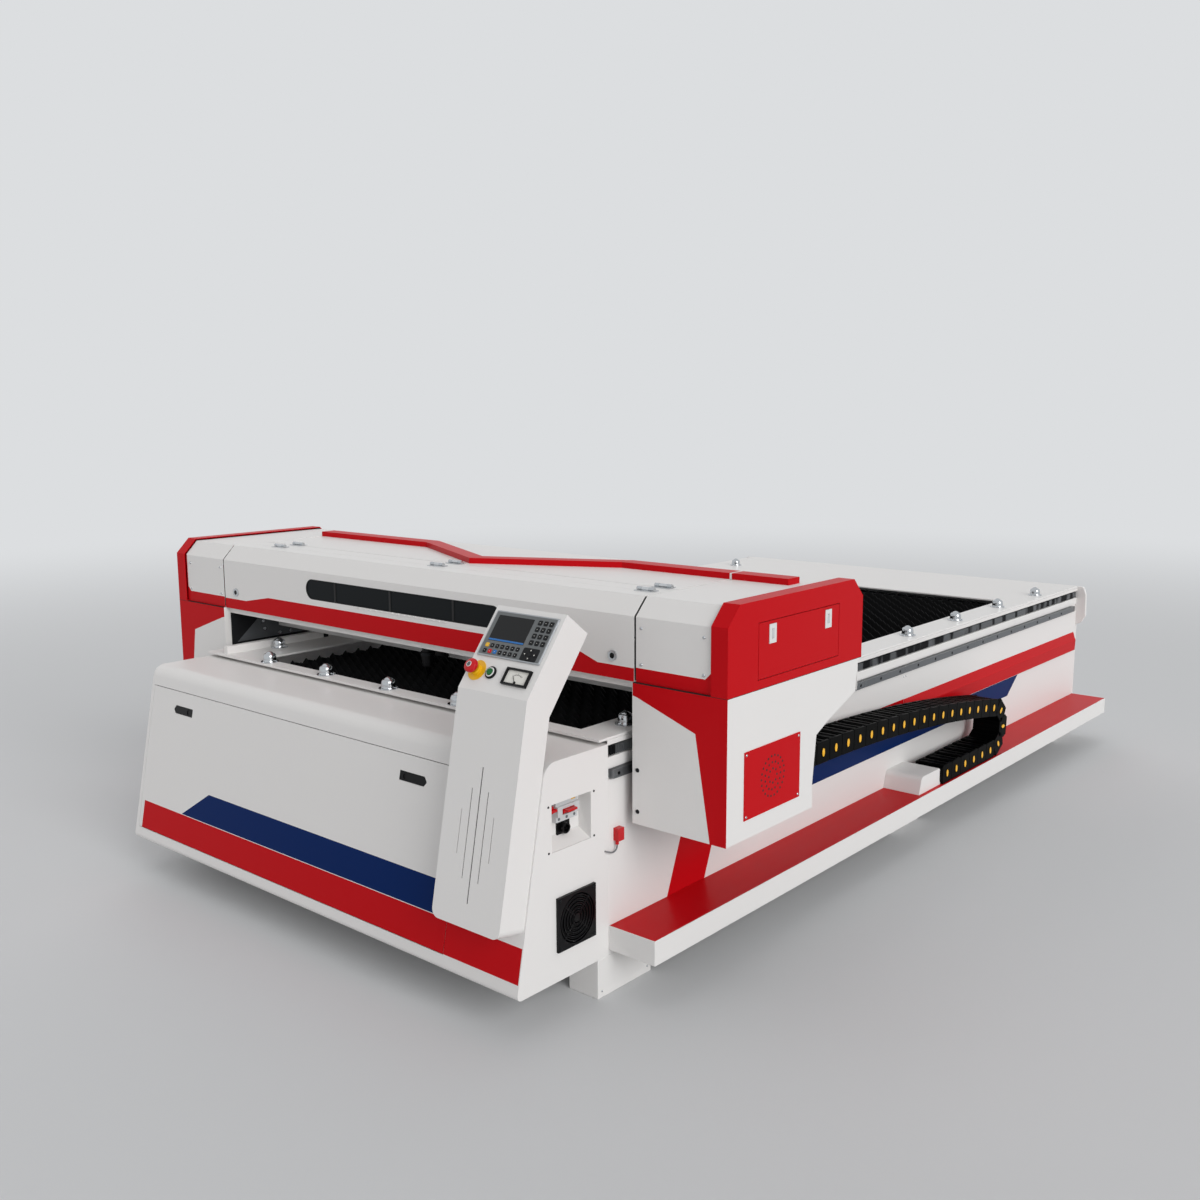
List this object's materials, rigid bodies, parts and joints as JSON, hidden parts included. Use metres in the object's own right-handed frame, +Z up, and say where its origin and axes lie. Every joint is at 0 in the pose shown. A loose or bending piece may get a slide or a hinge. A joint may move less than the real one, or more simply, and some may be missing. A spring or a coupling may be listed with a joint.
{
  "type": "laser engraving machine",
  "caption": "Large flat-bed laser engraving and cutting machine with a motor-driven moving gantry, blade bed, ball transfers, front cabinet, tilted console and side cable chain.",
  "frame": {"origin": "on the floor, at the centre of the machine's footprint box", "axes": "+Z up; +Y along the bed, from the front cabinet to the rear wall; +X to the right for a user who stands at the front cabinet"},
  "size_m": [2.59, 3.981, 1.13],
  "materials": {
    "white_powder_coat": "white fine-textured powder coat on sheet steel",
    "red_paint": "satin signal-red powder coat",
    "bed_plate_white": "white powder coat, smooth, on the bed's top plate",
    "frame_grey": "grey primer and paint on welded steel",
    "blade_black": "dark oxide on sheet steel blades",
    "chrome_steel": "polished bearing steel and chrome plate",
    "ground_steel": "ground and oiled rail steel",
    "machined_aluminium": "machined and clear anodised aluminium",
    "black_nylon": "moulded black nylon",
    "black_paint": "black anodised and painted metal",
    "black_rubber": "black polyurethane and rubber",
    "red_plastic": "moulded red plastic, slightly glossy",
    "yellow_plastic": "moulded yellow plastic",
    "green_plastic": "moulded green plastic",
    "grey_plastic": "moulded grey plastic",
    "white_plastic": "moulded white plastic",
    "tube_glass": "borosilicate glass of the sealed laser tube",
    "lead_grey": "grey insulated lead"
  },
  "bodies": {
    "base": {"bed_sides": "white_powder_coat", "bed_rear_wall": "white_powder_coat", "bed_underframe": "frame_grey", "bed_plate": "bed_plate_white", "blades": "blade_black", "ball_transfers": "chrome_steel", "feet": "white_powder_coat", "cabinet_shell": "white_powder_coat", "cabinet_sides": "white_powder_coat", "power_panel": "white_powder_coat", "breaker": "grey_plastic", "inlet_socket": "black_nylon", "fan_housing": "black_nylon", "chain_shelf": "white_powder_coat", "chain_anchor": "white_powder_coat", "cable_chain": "black_nylon", "y_rails": "ground_steel", "y_racks": "ground_steel", "side_mouldings": "red_paint", "limit_switch": "red_plastic", "limit_lead": "lead_grey", "console": "white_powder_coat", "controller": "grey_plastic", "button_bezels": "yellow_plastic", "ammeter": "black_nylon"},
    "gantry": {"gantry_beam": "frame_grey", "legs": "white_powder_coat", "vent_plates": "red_paint", "end_caps": "red_paint", "end_covers": "white_powder_coat", "top_spine": "white_powder_coat", "x_rail": "ground_steel", "x_belt": "black_rubber", "laser_tube": "tube_glass", "beam_optics": "machined_aluminium", "stepper_motors": "black_paint", "guide_blocks": "ground_steel", "lid_hinges": "chrome_steel"},
    "front_door": {"front_door": "white_powder_coat"},
    "door_pull_left": {"door_pull_left": "black_nylon"},
    "door_pull_right": {"door_pull_right": "black_nylon"},
    "breaker_toggle": {"breaker_toggle": "red_plastic"},
    "fan_rotor": {"fan_rotor": "black_nylon"},
    "estop_head": {"estop_head": "red_plastic"},
    "start_button": {"start_button": "green_plastic"},
    "meter_needle": {"meter_needle": "red_plastic"},
    "front_lid": {"front_lid": "white_powder_coat"},
    "rear_lid": {"rear_lid": "white_powder_coat"},
    "cam_lock_left": {"cam_lock_left": "chrome_steel"},
    "cam_lock_right": {"cam_lock_right": "chrome_steel"},
    "hatch_left": {"hatch_left": "red_paint"},
    "hatch_right": {"hatch_right": "red_paint"},
    "latches_left": {"latches_left": "white_plastic"},
    "latches_right": {"latches_right": "white_plastic"},
    "head_carriage": {"head_carriage": "machined_aluminium"},
    "laser_head": {"laser_head": "black_paint"},
    "motor_pulley": {"motor_pulley": "machined_aluminium"},
    "idler_pulley": {"idler_pulley": "machined_aluminium"},
    "pinion_left": {"pinion_left": "ground_steel"},
    "pinion_right": {"pinion_right": "ground_steel"}
  },
  "joints": [
    {"name": "gantry_slide", "type": "slide", "parent": "base", "child": "gantry", "axis": [0, 1, 0], "range_m": [0, 2.5], "deforming": ["cable_chain"]},
    {"name": "head_slide", "type": "slide", "parent": "gantry", "child": "head_carriage", "axis": [1, 0, 0], "range_m": [-0.68, 0.78]},
    {"name": "head_lift", "type": "slide", "parent": "head_carriage", "child": "laser_head", "axis": [0, 0, 1], "range_m": [-0.004, 0.04]},
    {"name": "front_lid_hinge", "type": "hinge", "parent": "gantry", "child": "front_lid", "pos_m": [0, -1.38348, 1.117], "axis": [-1, 0, 0], "range_deg": [0, 90]},
    {"name": "rear_lid_hinge", "type": "hinge", "parent": "gantry", "child": "rear_lid", "pos_m": [0, -1.30348, 1.117], "axis": [1, 0, 0], "range_deg": [0, 75]},
    {"name": "cam_lock_left_turn", "type": "hinge", "parent": "front_lid", "child": "cam_lock_left", "pos_m": [-0.908, -1.49548, 0.945], "axis": [0, 1, 0], "range_deg": [0, 90]},
    {"name": "cam_lock_right_turn", "type": "hinge", "parent": "front_lid", "child": "cam_lock_right", "pos_m": [0.908, -1.49548, 0.945], "axis": [0, 1, 0], "range_deg": [-90, 0]},
    {"name": "hatch_right_hinge", "type": "hinge", "parent": "gantry", "child": "hatch_right", "pos_m": [1.287, -1.57148, 0.916], "axis": [0, 1, 0], "range_deg": [0, 90]},
    {"name": "hatch_left_hinge", "type": "hinge", "parent": "gantry", "child": "hatch_left", "pos_m": [-1.287, -1.57148, 0.916], "axis": [0, -1, 0], "range_deg": [0, 90]},
    {"name": "latches_right_press", "type": "slide", "parent": "hatch_right", "child": "latches_right", "axis": [-1, 0, 0], "range_m": [0, 0.003], "stiffness_N_per_m": 800},
    {"name": "latches_left_press", "type": "slide", "parent": "hatch_left", "child": "latches_left", "axis": [1, 0, 0], "range_m": [0, 0.003], "stiffness_N_per_m": 800},
    {"name": "front_door_hinge", "type": "hinge", "parent": "base", "child": "front_door", "pos_m": [0, -1.91848, 0.16588], "axis": [1, 0, 0], "range_deg": [0, 95]},
    {"name": "door_pull_left_lift", "type": "hinge", "parent": "front_door", "child": "door_pull_left", "pos_m": [-0.7755, -1.83918, 0.58954], "axis": [0, -0.1908, -0.9816], "range_deg": [0, 35]},
    {"name": "door_pull_right_lift", "type": "hinge", "parent": "front_door", "child": "door_pull_right", "pos_m": [0.5055, -1.83918, 0.58954], "axis": [0, 0.1908, 0.9816], "range_deg": [0, 35]},
    {"name": "breaker_throw", "type": "hinge", "parent": "base", "child": "breaker_toggle", "pos_m": [0.9305, -1.71348, 0.568], "axis": [0, 1, 0], "range_deg": [0, 45]},
    {"name": "fan_spin", "type": "hinge", "parent": "base", "child": "fan_rotor", "pos_m": [0.95, -1.70848, 0.273], "axis": [1, 0, 0], "continuous": true},
    {"name": "estop_press", "type": "slide", "parent": "base", "child": "estop_head", "axis": [0, 0.7923, -0.6101], "range_m": [0, 0.004], "stiffness_N_per_m": 800},
    {"name": "start_press", "type": "slide", "parent": "base", "child": "start_button", "axis": [0, 0.7923, -0.6101], "range_m": [0, 0.003], "stiffness_N_per_m": 300},
    {"name": "needle_sweep", "type": "hinge", "parent": "base", "child": "meter_needle", "pos_m": [0.88, -1.85413, 0.92774], "axis": [0, 0.7923, -0.6101], "range_deg": [0, 80]},
    {"name": "motor_pulley_spin", "type": "hinge", "parent": "gantry", "child": "motor_pulley", "pos_m": [0.925, -1.30148, 0.933], "axis": [0, 1, 0], "continuous": true},
    {"name": "idler_pulley_spin", "type": "hinge", "parent": "gantry", "child": "idler_pulley", "pos_m": [-0.925, -1.30148, 0.933], "axis": [0, 1, 0], "continuous": true},
    {"name": "pinion_right_spin", "type": "hinge", "parent": "gantry", "child": "pinion_right", "pos_m": [0.9675, -1.07748, 0.697], "axis": [0, 0, 1], "continuous": true},
    {"name": "pinion_left_spin", "type": "hinge", "parent": "gantry", "child": "pinion_left", "pos_m": [-0.9675, -1.07748, 0.697], "axis": [0, 0, 1], "continuous": true}
  ],
  "couplings": [
    {"joint": "motor_pulley_spin", "follows": "head_slide", "rad_per_m": -55.556},
    {"joint": "idler_pulley_spin", "follows": "head_slide", "rad_per_m": -55.556},
    {"joint": "pinion_right_spin", "follows": "gantry_slide", "rad_per_m": 50},
    {"joint": "pinion_left_spin", "follows": "gantry_slide", "rad_per_m": -50}
  ]
}
